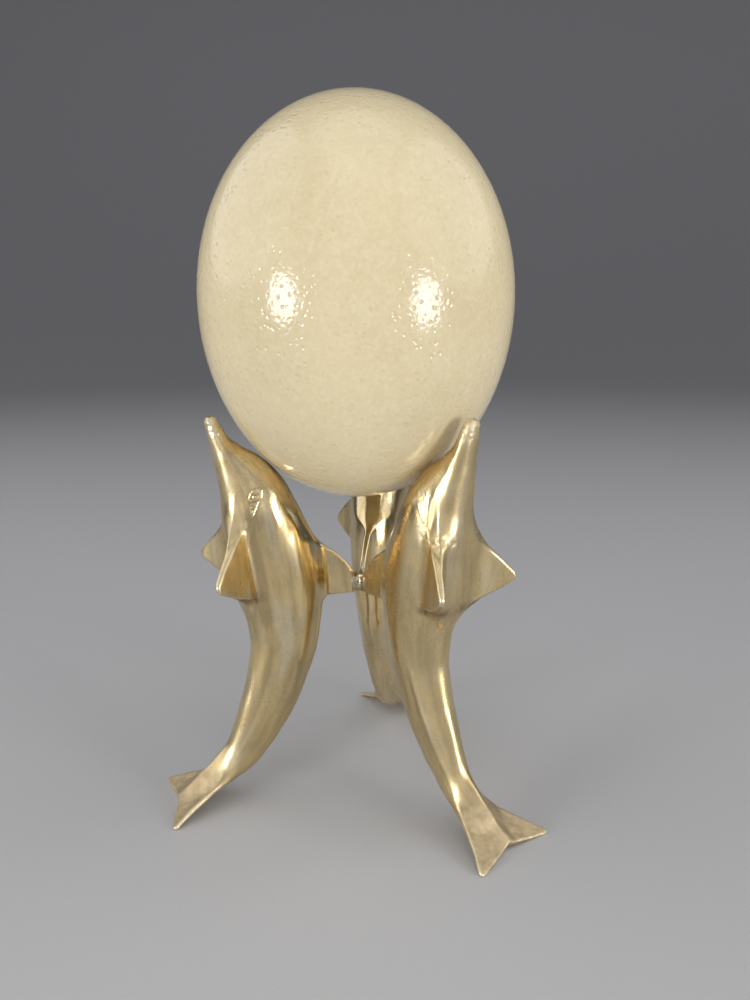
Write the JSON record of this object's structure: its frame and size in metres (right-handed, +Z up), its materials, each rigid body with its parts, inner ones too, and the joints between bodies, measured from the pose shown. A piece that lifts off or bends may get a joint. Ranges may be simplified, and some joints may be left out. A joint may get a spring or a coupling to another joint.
{
  "type": "ostrich egg on a dolphin tripod stand",
  "caption": "Cream ostrich egg standing on end on the foreheads of cast brass dolphins that form a tripod stand, brazed together at their dorsal fins.",
  "frame": {"origin": "bottom centre of the object's bounding box, on the surface that the tail flukes stand on", "axes": "+Z up along the egg, one dolphin at the back towards +Y, the other two towards -Y left and right"},
  "size_m": [0.1808, 0.1592, 0.3101],
  "materials": {
    "shell": "satin",
    "brass": "gloss",
    "braze": "satin"
  },
  "bodies": {
    "root": {"egg": "shell", "dolphin_right": "brass", "dolphin_back": "brass", "dolphin_left": "brass", "braze_joint": "braze"}
  },
  "joints": []
}
